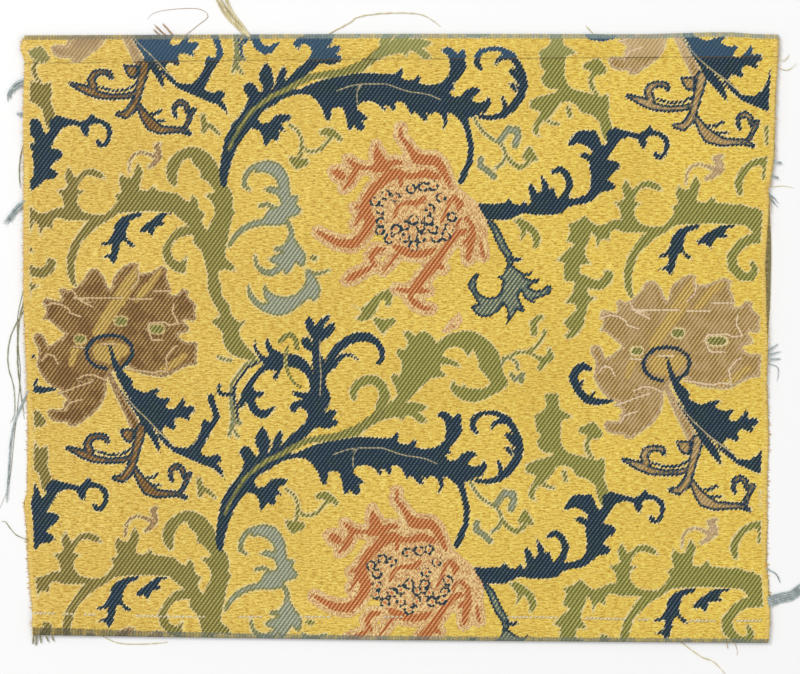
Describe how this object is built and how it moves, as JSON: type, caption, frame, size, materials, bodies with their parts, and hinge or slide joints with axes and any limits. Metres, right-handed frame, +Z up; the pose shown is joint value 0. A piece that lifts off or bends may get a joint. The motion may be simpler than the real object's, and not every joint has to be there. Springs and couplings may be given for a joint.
{
  "type": "silk textile fragment",
  "caption": "Flat rectangle of brocaded silk with acanthus scrolls and flowers, a deep turning behind its top, a narrow stitched hem, raw sides and loose yarn ends.",
  "frame": {"origin": "on the underside of the cloth, under the middle of its front panel", "axes": "+X to the right across the cloth, +Y up along the pattern, +Z up out of its right side"},
  "size_m": [0.4008, 0.3336, 0.0031],
  "materials": {
    "brocaded_silk": "satin ground with twill-bound figures, faded",
    "yellow_yarn": "soft silk yarn",
    "cream_yarn": "soft silk yarn",
    "tan_yarn": "soft silk yarn",
    "blue_grey_yarn": "soft silk yarn",
    "sewing_thread": "matt thread"
  },
  "bodies": {
    "root": {"cloth": "brocaded_silk", "left_edge_fray": "yellow_yarn", "right_edge_fray": "yellow_yarn", "top_tan_ends": "tan_yarn", "top_cream_tuft": "cream_yarn", "top_cream_arc": "cream_yarn", "top_short_end": "cream_yarn", "bottom_corner_fray": "yellow_yarn", "bottom_bowed_yarn": "cream_yarn", "bottom_cream_end": "cream_yarn", "bottom_stub_ends": "tan_yarn"}
  },
  "joints": []
}
